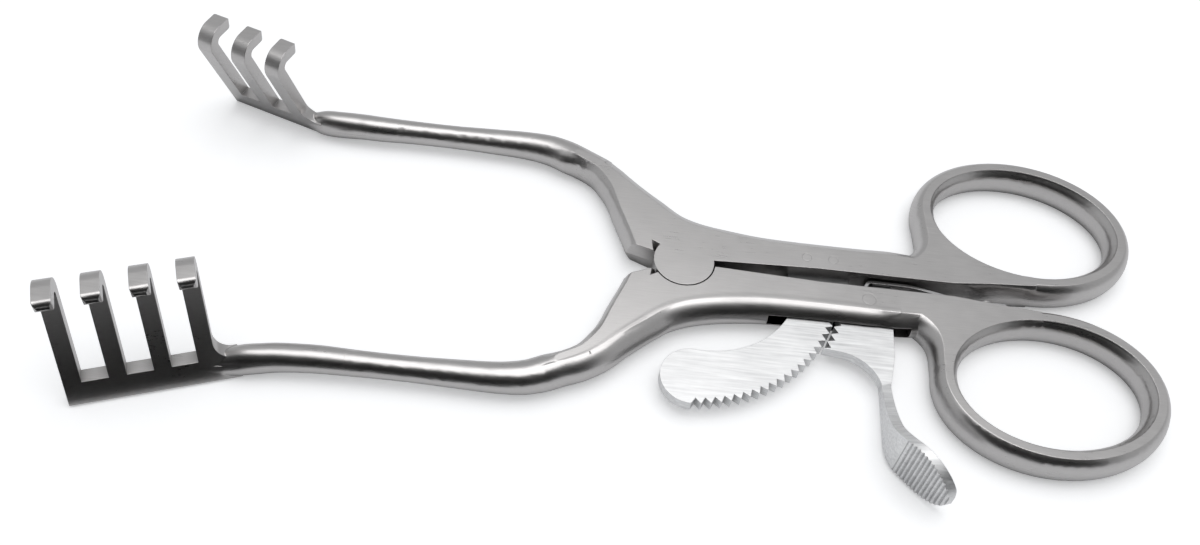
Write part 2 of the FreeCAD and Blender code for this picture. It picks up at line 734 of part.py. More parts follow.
# Thumb arm: an upright wall that grows from the plate's thickness to the pad's height
def thumbArmShape():
    neck = thumbNeck()
    start = neck + Vector(-0.15, 2.0, 0)
    corner = neck + Vector(0.1, -size("thumbArmLength"), 0)
    end = corner + heading(-46) * size("thumbPadLength")
    spine = Spine([start, corner, end], [size("thumbArmBend")])
    edges = spineEdges(spine)
    half = size("thumbArmThickness") / 2
    wall = Part.Wire(edges).makeOffset2D(half, 0, True, False, False).extrude(Vector(0, 0, 20))
    wall.translate(Vector(0, 0, under))
    along = (end - start).normalize()
    run = start.distanceToPoint(end)
    low = middle - size("ratchetThickness") / 2
    high = middle + size("ratchetThickness") / 2
    padLow = under + 0.5
    padHigh = padLow + size("thumbPadHeight")
    top = Part.BSplineCurve()
    top.interpolate([Vector(-2, 0, high), Vector(2.5, 0, high + 0.1), Vector(run * 0.42, 0, high + 0.42 * (padHigh - high)),
                     Vector(run * 0.72, 0, padHigh), Vector(run * 0.93, 0, padHigh - 1.6), Vector(run + half, 0, middle + 1.6)])
    low2 = Part.BSplineCurve()
    low2.interpolate([Vector(run + half, 0, middle + 1.6), Vector(run * 0.93, 0, padLow + 0.6), Vector(run * 0.72, 0, padLow),
                      Vector(run * 0.42, 0, padLow + 0.5), Vector(2.5, 0, low - 0.05), Vector(-2, 0, low)])
    back = Part.LineSegment(Vector(-2, 0, low), Vector(-2, 0, high))
    profile = Part.Face(Part.Wire([top.toShape(), low2.toShape(), back.toShape()]))
    side = profile.extrude(Vector(0, 40, 0))
    side.translate(Vector(0, -20, 0))
    side.Placement = Placement(start, Rotation(up, math.degrees(math.atan2(along.y, along.x)))).multiply(side.Placement)
    return wall.common(side), corner, end


def spineEdges(spine):
    edges = []
    for index, (start, end, into, radius, turn) in enumerate(spine.pieces):
        if radius is None:
            edges.append(Part.LineSegment(start, end).toShape())
        else:
            edges.append(Part.Arc(start, spine.at(index, 0.5)[0], end).toShape())
    return edges


# Upright grooves over the pad's thumb face
def padGrooves(corner, end):
    count = int(size("thumbPadGrooveCount"))
    along = (end - corner).normalize()
    normal = Vector(along.y, -along.x, 0)
    face = size("thumbArmThickness") / 2
    depth = size("thumbPadGrooveDepth")
    pitch = size("thumbPadLength") * 1.02 / count
    tools = []
    for index in range(count):
        point = corner + along * (index + 0.9) * pitch + normal * face
        tool = Part.makeBox(depth * 1.414, depth * 1.414, 20)
        tool.translate(Vector(-depth * 0.707, -depth * 0.707, under))
        turn = math.degrees(math.atan2(along.y, along.x)) + 45
        tool.Placement = Placement(point, Rotation(up, turn)).multiply(tool.Placement)
        tools.append(tool)
    return Part.makeCompound(tools)


def springShape():
    rootY = -size("handleGapHalf") + size("springThickness") / 2
    tailY = leverPivot().y + size("leverTailReach") + size("springThickness") / 2 + 0.08
    tailX = leverPivot().x
    points = [
        Vector(size("springRootX"), rootY, 0),
        Vector(size("springScrewX") - 4.5, rootY, 0),
        Vector(tailX + 7.5, tailY, 0),
        Vector(tailX + 0.6, tailY, 0),
        Vector(tailX - 0.2, tailY - 1.5, 0)]
    spine = Spine(points, [20.0, 12.0, 0.9])
    strip = Part.Wire(spineEdges(spine)).makeOffset2D(size("springThickness") / 2, 0, True, False, False)
    shape = strip.extrude(Vector(0, 0, size("springHeight")))
    shape.translate(Vector(0, 0, middle - size("springHeight") / 2))
    return shape


def box(name, length, width, height, x, y, z):
    obj = doc.addObject("Part::Box", name)
    bind(obj, Length=length, Width=width, Height=height)
    obj.Placement = Placement(Vector(x, y, z), Rotation())
    return obj


def export(obj, name):
    obj.Label = name
    made[name] = obj


made = {}
rivetY = size("handleGapHalf") + size("rivetInset")
rivetMiddle = (size("ratchetRootLeft") + size("ratchetRootRight")) / 2
rivetPlaces = [rivetMiddle - size("rivetSpacing") / 2, rivetMiddle + size("rivetSpacing") / 2]
pivot = leverPivot()

# rivets
rivets = []
for number, x in enumerate(rivetPlaces, start=1):
    rivet = cylinder("ratchet_rivet_%d" % number, "Sizes.rivetRadius", "Sizes.bodyThickness", x, rivetY)
    rivets.append(rivet)
    export(rivet, rivet.Name)

# ratchet bar
ratchet = cut("ratchet_bar", makeRatchet(), fuse("rivet_holes", *rivets))
export(ratchet, "ratchet_bar")

# lever pin
pin = cylinder("lever_pin", "Sizes.leverPinRadius", "Sizes.bodyThickness", pivot.x, pivot.y)
export(pin, "lever_pin")

# release lever
armWall, padCorner, padEnd = thumbArmShape()
leverForm = fuse("lever_form", makeLeverPlate(), feature("thumb_arm", armWall))
pinBore = cylinder("lever_bore", "Sizes.leverPinRadius + Sizes.runningClearance", "Sizes.bodyThickness", pivot.x, pivot.y)
leverBored = cut("lever_bored", leverForm, pinBore)
lever = cut("release_lever", leverBored, feature("pad_grooves", padGrooves(padCorner, padEnd)))
export(lever, "release_lever")

# leaf spring and its screw
screwAlongY = Rotation(Vector(1, 0, 0), 90)
seatY = -size("handleGapHalf")
springHole = cylinder("spring_hole", "Sizes.springScrewRadius", "2 * Sizes.springThickness")
springHole.Placement = Placement(Vector(size("springScrewX"), seatY + 2 * size("springThickness"), middle), screwAlongY)
spring = cut("leaf_spring", feature("spring_strip", springShape()), springHole)
export(spring, "leaf_spring")
springShank = cylinder("spring_screw_shank", "Sizes.springScrewRadius", "Sizes.springScrewDepth + Sizes.springThickness")
springShank.Placement = Placement(Vector(size("springScrewX"), seatY + size("springThickness"), middle), screwAlongY)
springHead = cylinder("spring_screw_head", "Sizes.springScrewHeadRadius", "Sizes.springScrewHeadHeight")
springHead.Placement = Placement(
    Vector(size("springScrewX"), seatY + size("springThickness") + size("springScrewHeadHeight"), middle), screwAlongY)
springScrew = fuse("spring_screw", springShank, springHead)
export(springScrew, "spring_screw")

# joint screw: its countersunk head is flush with the near arm's underside
head = doc.addObject("Part::Cone", "joint_screw_head")
bind(head, Radius1="Sizes.screwHeadRadius", Radius2="Sizes.screwRadius", Height="Sizes.screwHeadDepth")
head.Placement = Placement(Vector(0, 0, under), Rotation())
shank = cylinder("joint_screw_shank", "Sizes.screwRadius", "Sizes.bodyThickness / 2 + Sizes.screwEngagement")
slot = box("joint_screw_slot", "3 * Sizes.screwHeadRadius", "Sizes.screwSlotWidth", "Sizes.screwSlotDepth",
           -1.5 * size("screwHeadRadius"), -size("screwSlotWidth") / 2, under)
jointScrew = cut("joint_screw", fuse("joint_screw_form", head, shank), slot)
export(jointScrew, "joint_screw")

# near arm
nearForm = feature("near_arm_form", armShape(near, size("nearBladeReach"), int(size("nearProngCount")), False))
lockSlot = box("lock_slot", "Sizes.slotEndX - Sizes.slotStartX", "20", "Sizes.slotHeight",
               size("slotStartX"), -20, middle - size("slotHeight") / 2)
pinHole = cylinder("pin_hole", "Sizes.leverPinRadius", "Sizes.bodyThickness", pivot.x, pivot.y)
headSink = doc.addObject("Part::Cone", "head_sink")
bind(headSink, Radius1="Sizes.screwHeadRadius + Sizes.runningClearance",
     Radius2="Sizes.screwRadius + Sizes.runningClearance", Height="Sizes.screwHeadDepth + Sizes.runningClearance")
headSink.Placement = Placement(Vector(0, 0, under), Rotation())
screwBore = cylinder("screw_bore", "Sizes.screwRadius + Sizes.runningClearance", "Sizes.bodyThickness")
springThread = cylinder("spring_thread", "Sizes.springScrewRadius", "Sizes.springScrewDepth + Sizes.springThickness")
springThread.Placement = springShank.Placement
nearTools = fuse("near_tools", lockSlot, pinHole, headSink, screwBore, springThread)
nearArm = cut("near_arm", nearForm, nearTools)
export(nearArm, "near_arm")

# far arm
farForm = feature("far_arm_form", armShape(far, size("farBladeReach"), int(size("farProngCount")), True))
rootPocket = box("root_pocket", "Sizes.ratchetRootRight - Sizes.ratchetRootLeft", "Sizes.ratchetRootDepth + 1",
                 "Sizes.ratchetThickness", size("ratchetRootLeft"), size("handleGapHalf") - 1,
                 middle - size("ratchetThickness") / 2)
farRivets = [cylinder("far_rivet_hole_%d" % number, "Sizes.rivetRadius", "Sizes.bodyThickness", x, rivetY)
             for number, x in enumerate(rivetPlaces, start=1)]
screwThread = cylinder("screw_thread", "Sizes.screwRadius", "Sizes.bodyThickness / 2 + Sizes.screwEngagement")
farArm = cut("far_arm", farForm, fuse("far_tools", rootPocket, screwThread, *farRivets))
export(farArm, "far_arm")

doc.recompute()

for obj in doc.Objects:
    if "Invalid" in obj.State or "Error" in obj.State:
        raise RuntimeError("%s failed: %s" % (obj.Name, obj.State))
for name, obj in made.items():
    if obj.Shape.isNull() or not obj.Shape.isValid():
        raise RuntimeError("%s has no valid shape" % name)
for name, obj in made.items():
    obj.Shape.exportStep("parts/%s.step" % name)
    print(name, "solids", len(obj.Shape.Solids), "volume", round(obj.Shape.Volume, 2))
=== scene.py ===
import json
import math

import bmesh
import bpy
from mathutils import Matrix, Vector


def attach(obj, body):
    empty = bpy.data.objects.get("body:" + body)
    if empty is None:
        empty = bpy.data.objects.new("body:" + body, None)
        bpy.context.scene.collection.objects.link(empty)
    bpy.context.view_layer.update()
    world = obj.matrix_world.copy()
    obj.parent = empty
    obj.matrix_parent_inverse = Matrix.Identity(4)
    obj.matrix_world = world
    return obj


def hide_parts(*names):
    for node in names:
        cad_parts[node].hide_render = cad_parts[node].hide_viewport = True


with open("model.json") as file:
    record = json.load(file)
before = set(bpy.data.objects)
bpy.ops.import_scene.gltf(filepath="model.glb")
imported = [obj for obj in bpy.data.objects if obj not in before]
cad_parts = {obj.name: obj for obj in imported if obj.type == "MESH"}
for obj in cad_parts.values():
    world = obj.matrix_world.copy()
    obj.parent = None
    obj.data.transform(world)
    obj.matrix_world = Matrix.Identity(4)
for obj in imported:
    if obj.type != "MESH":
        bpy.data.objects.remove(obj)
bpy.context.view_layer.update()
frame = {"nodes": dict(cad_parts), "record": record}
nodes = frame["nodes"]
print("frame loaded")

# Values to change, one dictionary for each piece or finish
camera = {
    "place": (-0.02067, -0.12294, 0.15084),
    "heading": -3.522,
    "elevation": 51.776,
    "roll": 8.941,
    "lens": 36.36,
}
stage = {
    "floorColor": (0.86, 0.865, 0.875),
    "floorGlow": 0.31,  # added for the camera so that the paper reads white
    "floorSize": 6.0,
    "restHeight": -0.0059,
    "roomGrey": 0.55,
    "roomColor": (0.97, 0.985, 1.0),
    "lowCard": [  # black card on the paper that the near blade's front reflects
        (-0.125, -0.17), (-0.02, -0.17), (-0.02, -0.046),
        (-0.060, -0.0385), (-0.0675, -0.0302), (-0.125, -0.0505)],
    "lowCardLift": 0.0002,
}
lamps = {
    "overheadPower": 2.9,
    "overheadSize": 0.72,
    "overheadPlace": (0.05, 0.06, 0.8),
    "cardDepth": 0.55,
    "cardHeight": 0.75,
    "cardWidth": 1.3,
    "cardLean": 0.25,
}
satinSteel = {
    "color": (0.545, 0.531, 0.525),
    # creviceDepth and creviceShade: reach and strength of painted shade in crevices, recesses and under
    # parts near the paper
    "creviceDepth": 0.0022,
    "creviceShade": 0.75,
    "roughness": 0.30,
    "roughGrain": 0.05,
    "bumpGrain": 0.03,
    "grainScale": 4200.0,
    "grainTurn": 0.0,
    "grainStretch": (0.06, 1.0, 1.0),
    "shade": 0.93,
    "edge": 0.00014,
}
groundPlate = {
    "color": (0.80, 0.80, 0.805),
    # creviceDepth and creviceShade: reach and strength of painted shade in crevices, recesses and under
    # parts near the paper
    "creviceDepth": 0.0012,
    "creviceShade": 0.6,
    # slotEdge, slotShade, slotSteepness: painted shade, darker where y is above slotEdge, over the
    # ratchet bar in the gap between the handles
    "slotEdge": -0.0036,
    "slotShade": 0.72,
    "slotSteepness": 1500.0,
    "roughness": 0.40,
    "roughGrain": 0.16,
    "bumpGrain": 0.30,
    "grainScale": 2600.0,
    "grainTurn": 52.0,
    "grainStretch": (0.05, 1.0, 1.0),
    "shade": 0.74,
    "edge": 0.0001,
}
springSteel = {
    "color": (0.60, 0.59, 0.59),
    # creviceDepth and creviceShade: reach and strength of painted shade in crevices, recesses and under
    # parts near the paper
    "creviceDepth": 0.001,
    "creviceShade": 0.4,
    "roughness": 0.2,
    "roughGrain": 0.05,
    "bumpGrain": 0.04,
    "grainScale": 2400.0,
    "grainTurn": 0.0,
    "grainStretch": (0.05, 1.0, 1.0),
    "shade": 0.88,
    "edge": 0.00006,
}
# Round shank of an arm: x, distance from the centre line, radius
shank = {
    "stations": [
        (-0.0760, 0.02977, 0.00215),
        (-0.0713, 0.02814, 0.00215),
        (-0.0683, 0.02709, 0.00215),
        (-0.0656, 0.02617, 0.00215),
        (-0.0630, 0.02535, 0.00215),
        (-0.0599, 0.02462, 0.00215),
        (-0.0549, 0.0242, 0.00215),
        (-0.0470, 0.0242, 0.0020),
        (-0.0400, 0.0242, 0.0020),
        (-0.0330, 0.0242, 0.0022),
        (-0.0275, 0.0241, 0.0024),
        (-0.0235, 0.02355, 0.00262),
        (-0.0202, 0.02235, 0.0028)],
    "range": (-0.0580, -0.0200),
    "ease": 0.003,
    "core": 0.6,  # share of the radius that is left alone
    "aheadStep": 0.0002,  # run over which the centre line's direction is taken
}
# Swelling between blade and shank: share of its run, half width, half height, level, lean, inset
swelling = {
    "bladeEnds": {"near_arm": -0.0683, "far_arm": -0.0654},
    "shankEnd": -0.0500,
    "rows": [
        (-0.07, 0.00098, 0.00180, -0.00387, 20.9, 0.00076),
        (0.0, 0.00104, 0.00188, -0.00386, 20.9, 0.00076),
        (0.08, 0.00152, 0.00222, -0.00361, 19.0, 0.00072),
        (0.18, 0.00202, 0.00248, -0.00336, 15.0, 0.00060),
        (0.36, 0.00216, 0.00240, -0.00314, 7.0, 0.00024),
        (0.60, 0.00217, 0.00220, -0.00292, 0.0, 0.0),
        (0.80, 0.00214, 0.00214, -0.0029, 0.0, 0.0),
        (1.0, 0.00205, 0.00205, -0.0029, 0.0, 0.0)],
    "stations": 34,
    "around": 40,
}
# Rounded outer side of yoke and handle: x, rim's distance from the centre line, flat width, full width
roundedSide = {
    "rows": [
        (-0.0222, 0.02305, 0.0001, 0.00215),
        (-0.0202, 0.02262, 0.0003, 0.00276),
        (-0.0184, 0.02190, 0.0005, 0.00285),
        (-0.0150, 0.02040, 0.0009, 0.00325),
        (-0.0120, 0.01830, 0.0013, 0.00365),
        (-0.0096, 0.01585, 0.0016, 0.00395),
        (-0.0066, 0.01310, 0.0016, 0.00395),
        (-0.0036, 0.01050, 0.0016, 0.00398),
        (-0.0005, 0.00875, 0.0016, 0.00400),
        (0.0027, 0.00762, 0.0016, 0.00402),
        (0.0070, 0.00668, 0.0016, 0.00403),
        (0.0130, 0.00596, 0.0016, 0.00404),
        (0.0200, 0.00577, 0.0016, 0.00404),
        (0.0280, 0.00577, 0.0016, 0.00404),
        (0.0320, 0.00583, 0.0016, 0.00390),
        (0.0350, 0.00590, 0.0016, 0.00300)],
    "innerWidth": 0.0012,
    "sink": 0.000012,
    "dip": 0.00018,
    "dipStart": 0.6,  # share of the flat, from which the tube dips below the ground flat
    "startHeight": 0.86,
    "startRun": 0.0024,
    "stations": 90,
    "around": 44,
}
# Box of the slot through the near handle, with the handle's slot sizes
lockSlot = {
    "low": (0.01390, -0.015, -0.00415),
    "high": (0.03700, -0.0005, -0.00165),
}
# Shoulder of an arm: x, distance from the centre line, flat width, width of the round side, power
shoulder = {
    "stations": [
        (-0.0174, 0.0206, 0.00085, 0.0022, 1.8),
        (-0.0151, 0.0190, 0.00115, 0.0023, 1.6),
        (-0.0129, 0.0165, 0.0016, 0.0024, 1.4),
        (-0.0117, 0.0149, 0.0020, 0.0024, 1.25),
        (-0.0100, 0.0122, 0.0031, 0.0024, 1.15),
        (-0.0080, 0.0092, 0.0041, 0.0024, 1.15)],
    "halfThickness": 0.0029,
    "slack": 0.00001,
    "mergeDistance": 0.00012,
    "trimRange": (-0.0185, -0.0085),
    "trimAway": 0.011,
    "cleanRange": (-0.0195, -0.0085),
    "cleanAway": 0.0105,
}
arms = {
    "weldDistance": 0.000002,
    "levelSlack": 0.00002,
    "levelNormal": 0.999,
    "sharpAngle": 26.0,
    "normalWeight": 60,
}
smallPieces = {
    "sharpAngle": 28.0,
}


# Shader maths written as plain expressions
class Value:
    def __init__(self, tree, socket):
        self.tree = tree
        self.socket = socket

    def node(self, kind, inputs=(), output=0, **settings):
        made = self.tree.nodes.new(kind)
        for name, value in settings.items():
            setattr(made, name, value)
        for key, value in dict(inputs).items():
            if isinstance(value, Value):
                self.tree.links.new(value.socket, made.inputs[key])
            else:
                made.inputs[key].default_value = value
        return Value(self.tree, made.outputs[output])

    def maths(self, operation, first, second=0.0):
        return self.node("ShaderNodeMath", {0: first, 1: second}, operation=operation)

    def __add__(self, other):
        return self.maths("ADD", self, other)

    def __sub__(self, other):
        return self.maths("SUBTRACT", self, other)

    def __rsub__(self, other):
        return self.maths("SUBTRACT", other, self)

    def __mul__(self, other):
        return self.maths("MULTIPLY", self, other)

    def clamped(self, low, high):
        return self.node("ShaderNodeClamp", {"Value": self, "Min": low, "Max": high})


def newMaterial(name):
    material = bpy.data.materials.new(name)
    material.use_nodes = True
    tree = material.node_tree
    tree.nodes.clear()
    output = tree.nodes.new("ShaderNodeOutputMaterial")
    surface = tree.nodes.new("ShaderNodeBsdfPrincipled")
    tree.links.new(surface.outputs[0], output.inputs["Surface"])
    return material, tree, surface, Value(tree, None)


def objectPlace(start, turn=0.0, stretch=(1.0, 1.0, 1.0)):
    place = start.node("ShaderNodeTexCoord", output=3)
    return start.node(
        "ShaderNodeMapping",
        {"Vector": place, "Rotation": (0.0, 0.0, math.radians(turn)), "Scale": stretch})


def noise(start, place, scale, detail=3.0, roughness=0.55):
    return start.node(
        "ShaderNodeTexNoise",
        {"Vector": place, "Scale": scale, "Detail": detail, "Roughness": roughness})


def blendColors(start, factor, first, second):
    mixed = start.tree.nodes.new("ShaderNodeMix")
    mixed.data_type = "RGBA"
    start.tree.links.new(factor.socket, mixed.inputs[0])
    mixed.inputs[6].default_value = (*first, 1.0)
    mixed.inputs[7].default_value = (*second, 1.0)
    return Value(start.tree, mixed.outputs[2])


def steelMaterial(name, values):
    material, tree, surface, start = newMaterial(name)
    along = objectPlace(start, values["grainTurn"], values["grainStretch"])
    grain = noise(start, along, values["grainScale"])
    cloud = noise(start, objectPlace(start), 75.0, 4.0)
    smudge = noise(start, objectPlace(start), 420.0, 2.0)
    color = values["color"]
    dark = tuple(channel * values["shade"] for channel in color)
    light = tuple(min(1.0, channel * (2.0 - values["shade"])) for channel in color)
    spread = ((grain - 0.5) * 1.3 + (cloud - 0.5) * 0.7 + (smudge - 0.5) * 0.25 + 0.5).clamped(0.0, 1.0)
    # painted shade: ambient occlusion darkens the base colour in crevices, recesses and under parts near
    # the paper
    occlusionShade = start.node(
        "ShaderNodeAmbientOcclusion", {"Distance": values["creviceDepth"]}, output=1, samples=8)
    shade = (occlusionShade * values["creviceShade"] + (1.0 - values["creviceShade"])).clamped(0.0, 1.0)
    # painted shade: the base colour is darkened where y is above slotEdge, over the ratchet bar in the
    # gap between the handles
    if "slotEdge" in values:
        across = start.node("ShaderNodeSeparateXYZ", {0: objectPlace(start)}, output=1)
        slotShadeMask = ((across - values["slotEdge"]) * values["slotSteepness"]).clamped(0.0, 1.0)
        shade = shade * (1.0 - slotShadeMask * values["slotShade"])
    # base colour: random grain tone, multiplied by the painted shade above
    toneWithPaintedShade = start.node(
        "ShaderNodeVectorMath",
        {0: blendColors(start, spread, dark, light), "Scale": shade}, operation="SCALE")
    tree.links.new(toneWithPaintedShade.socket, surface.inputs["Base Color"])
    rough = (grain - 0.5) * values["roughGrain"] * 2 + (cloud - 0.5) * 0.10 + (smudge - 0.5) * 0.04
    rough = (rough + values["roughness"]).clamped(0.08, 0.9)
    tree.links.new(rough.socket, surface.inputs["Roughness"])
    surface.inputs["Metallic"].default_value = 1.0
    rounded = start.node("ShaderNodeBevel", {"Radius": values["edge"]}, samples=6)
    bump = start.node(
        "ShaderNodeBump",
        {"Height": grain, "Strength": values["bumpGrain"], "Distance": 0.00001, "Normal": rounded})
    tree.links.new(bump.socket, surface.inputs["Normal"])
    return material


def buildFinishes():
    finishes = {
        "satin_steel": steelMaterial("satinSteel", satinSteel),
        "ground_plate": steelMaterial("groundPlate", groundPlate),
        "spring_steel": steelMaterial("springSteel", springSteel),
    }
    for part in frame["record"]["subparts"]:
        piece = nodes[part["node"]]
        piece.data.materials.clear()
        piece.data.materials.append(finishes[part["material_slot"]])


def shadeSmooth(piece, angle):
    mesh = piece.data
    mesh.shade_smooth()
    mesh.set_sharp_from_angle(angle=math.radians(angle))


# Width that the round side of the shoulder leaves at a height, and where its centre line runs
def shoulderSection(x, away):
    best = None
    for first, last in zip(shoulder["stations"], shoulder["stations"][1:]):
        run = Vector((last[0] - first[0], last[1] - first[1]))
        reach = Vector((x - first[0], away - first[1]))
        share = min(1.0, max(0.0, reach.dot(run) / run.length_squared))
        centre = Vector(first[:2]) + run * share
        distance = (Vector((x, away)) - centre).length
        if best is None or distance < best[0]:
            values = [low + (high - low) * share for low, high in zip(first[2:], last[2:])]
            best = (distance, centre, Vector((-run.y, run.x)).normalized(), values)
    return best[1:]


def trimShoulder(mesh, side):
    trimmed = 0
    low, high = shoulder["trimRange"]
    for vertex in mesh.vertices:
        x, away, height = vertex.co.x, vertex.co.y * side, vertex.co.z + shoulder["halfThickness"]
        if not low < x < high or away < shoulder["trimAway"]:
            continue
        centre, outward, (flat, bulge, power) = shoulderSection(x, away)
        width = flat + bulge
        tall = shoulder["halfThickness"] / math.sqrt(1 - (flat / width) ** power)
        allowed = width * max(0.0, 1 - (height / tall) ** 2) ** (1 / power) + shoulder["slack"]
        outside = (Vector((x, away)) - centre).dot(outward)
        if outside > allowed:
            moved = Vector((x, away)) - outward * (outside - allowed)
            vertex.co.x = moved.x
            vertex.co.y = moved.y * side
            trimmed += 1
    return trimmed


def smoothedSteps(rows, x):
    rows = sorted(rows)
    slopes = []
    for index in range(len(rows)):
        low, high = rows[max(0, index - 1)], rows[min(len(rows) - 1, index + 1)]
        run = high[0] - low[0]
        slopes.append([(last - first) / run for first, last in zip(low[1:], high[1:])])
    index = 0
    while index < len(rows) - 2 and x > rows[index + 1][0]:
        index += 1
    run = rows[index + 1][0] - rows[index][0]
    share = (x - rows[index][0]) / run
    values = []
    for column in range(len(rows[0]) - 1):
        first, last = rows[index][column + 1], rows[index + 1][column + 1]
        slopeIn, slopeOut = slopes[index][column] * run, slopes[index + 1][column] * run
        cubic = 2 * (first - last) + slopeIn + slopeOut
        square = 3 * (last - first) - 2 * slopeIn - slopeOut
        values.append(((cubic * share + square) * share + slopeIn) * share + first)
    return values


# The round shank is brought to a true round about its centre line
def roundShank(mesh, side):
    low, high = shank["range"]
    for vertex in mesh.vertices:
        x = vertex.co.x
        if not low < x < high:
            continue
        away, radius = smoothedSteps(shank["stations"], x)
        tilt = (smoothedSteps(shank["stations"], x + shank["aheadStep"])[0] - away) / shank["aheadStep"]
        lean = math.sqrt(1 + tilt * tilt)
        aside = (vertex.co.y * side - away) / lean
        height = vertex.co.z + shoulder["halfThickness"]
        reach = math.hypot(aside, height)
        if reach < radius * shank["core"]:
            continue
        ease = min(1.0, (x - low) / shank["ease"], (high - x) / shank["ease"])
        grow = 1 + (radius / reach - 1) * ease
        vertex.co.y = side * (away + aside * grow * lean)
        vertex.co.z = height * grow - shoulder["halfThickness"]


def outwardAt(rows, x, away, side):
    ahead = smoothedSteps(rows, x + shank["aheadStep"])[0]
    return Vector((away - ahead, side * shank["aheadStep"], 0.0)).normalized()


# Rings of one count of points become a closed tube
def joinRings(shaped, rings):
    around = len(rings[0])
    faces = [shaped.faces.new(rings[0]), shaped.faces.new(list(reversed(rings[-1])))]
    for first, last in zip(rings, rings[1:]):
        for step in range(around):
            after = (step + 1) % around
            faces.append(shaped.faces.new((first[step], last[step], last[after], first[after])))
    bmesh.ops.recalc_face_normals(shaped, faces=faces)


# Closed tube of leaning ellipses that blends the flat blade into the round shank
def addSwelling(shaped, node, side):
    start = swelling["bladeEnds"][node]
    run = swelling["shankEnd"] - start
    around = swelling["around"]
    lowest, highest = swelling["rows"][0][0], swelling["rows"][-1][0]
    rings = []
    for index in range(swelling["stations"]):
        share = lowest + (highest - lowest) * index / (swelling["stations"] - 1)
        wide, tall, level, lean, inset = smoothedSteps(swelling["rows"], share)
        x = start + run * share
        away = smoothedSteps(shank["stations"], x)[0]
        outward = outwardAt(shank["stations"], x, away, side)
        centre = Vector((x, side * away, level)) - outward * inset
        tilt = math.radians(lean)
        upright = Vector((0.0, 0.0, 1.0)) * math.cos(tilt) - outward * math.sin(tilt)
        aside = outward * math.cos(tilt) + Vector((0.0, 0.0, 1.0)) * math.sin(tilt)
        ring = []
        for step in range(around):
            angle = 2 * math.pi * step / around
            spot = centre + aside * (wide * math.cos(angle)) + upright * (tall * math.sin(angle))
            ring.append(shaped.verts.new(spot))
        rings.append(ring)
    joinRings(shaped, rings)


def onShoulder(place):
    low, high = shoulder["cleanRange"]
    return low < place.x < high and abs(place.y) > shoulder["cleanAway"]


# Slivers that the trimming leaves are merged away from the ground flats' rims
def cleanShoulder(shaped):
    top, bottom = -arms["levelSlack"], -2 * shoulder["halfThickness"] + arms["levelSlack"]
    chosen = [vert for vert in shaped.verts if onShoulder(vert.co) and bottom < vert.co.z < top]
    bmesh.ops.remove_doubles(shaped, verts=chosen, dist=shoulder["mergeDistance"])


# Closed tube along the outer side of yoke and handle, level with the ground flats
def roundedSideMesh(side):
    rows, around = roundedSide["rows"], roundedSide["around"]
    half = shoulder["halfThickness"]
    first, last = rows[0][0], rows[-1][0]
    shaped = bmesh.new()
    rings = []
    for index in range(roundedSide["stations"]):
        x = first + (last - first) * index / (roundedSide["stations"] - 1)
        away, flat, wide = smoothedSteps(rows, x)
        outward = outwardAt(rows, x, away, side)
        centre = Vector((x, side * away, 0.0)) - outward * flat
        tall = half / math.sqrt(1 - (flat / wide) ** 2)
        begun = min(1.0, (x - first) / roundedSide["startRun"])
        eased = begun * begun * (3 - 2 * begun)
        rise = roundedSide["startHeight"] + (1 - roundedSide["startHeight"]) * eased
        ring = []
        for step in range(around):
            angle = 2 * math.pi * step / around
            reach = math.cos(angle) * (wide if math.cos(angle) > 0 else roundedSide["innerWidth"])
            inward = max(0.0, min(1.0, 1 - reach / (roundedSide["dipStart"] * flat)))
            sunk = roundedSide["sink"] + inward * roundedSide["dip"]
            level = max(-half, min(half, tall * math.sin(angle)))
            level = level * rise * (1 - sunk / half) - half
            spot = centre + outward * reach
            ring.append(shaped.verts.new((spot.x, spot.y, level)))
        rings.append(ring)
    joinRings(shaped, rings)
    mesh = bpy.data.meshes.new("rounded_side")
    shaped.to_mesh(mesh)
    shaped.free()
    return mesh


def evaluatedMesh(piece):
    bpy.context.view_layer.update()
    solved = piece.evaluated_get(bpy.context.evaluated_depsgraph_get())
    return bpy.data.meshes.new_from_object(solved)


# The near handle's slot for ratchet and lever stays open through the rounded side
def cutSlot(mesh):
    low, high = lockSlot["low"], lockSlot["high"]
    corners = [(x, y, z) for x in (low[0], high[0]) for y in (low[1], high[1]) for z in (low[2], high[2])]
    sides = [(0, 1, 3, 2), (4, 6, 7, 5), (0, 4, 5, 1), (2, 3, 7, 6), (0, 2, 6, 4), (1, 5, 7, 3)]
    box = bpy.data.meshes.new("slot_box")
    box.from_pydata(corners, [], sides)
    box.update()
    cutter = bpy.data.objects.new("slot_box", box)
    solid = bpy.data.objects.new("rounded_solid", mesh)
    for piece in (cutter, solid):
        bpy.context.scene.collection.objects.link(piece)
    trim = solid.modifiers.new("slot", "BOOLEAN")
    trim.object = cutter
    trim.operation = "DIFFERENCE"
    trim.solver = "EXACT"
    result = evaluatedMesh(solid)
    bpy.data.objects.remove(solid)
    bpy.data.objects.remove(cutter)
    return result


def markSharp(shaped):
    top, bottom = 0.0, -2 * shoulder["halfThickness"]
    ground = set()
    for face in shaped.faces:
        face.smooth = True
        level = face.calc_center_median().z
        flat = abs(face.normal.z) > arms["levelNormal"]
        if flat and min(abs(level - top), abs(level - bottom)) < arms["levelSlack"]:
            ground.add(face)
    for edge in shaped.edges:
        if len(edge.link_faces) != 2:
            continue
        first, last = edge.link_faces
        rim = (first in ground) != (last in ground)
        forged = onShoulder(edge.verts[0].co) and onShoulder(edge.verts[1].co)
        gentle = edge.calc_face_angle(0.0) < math.radians(arms["sharpAngle"])
        edge.smooth = not rim and (forged or gentle)


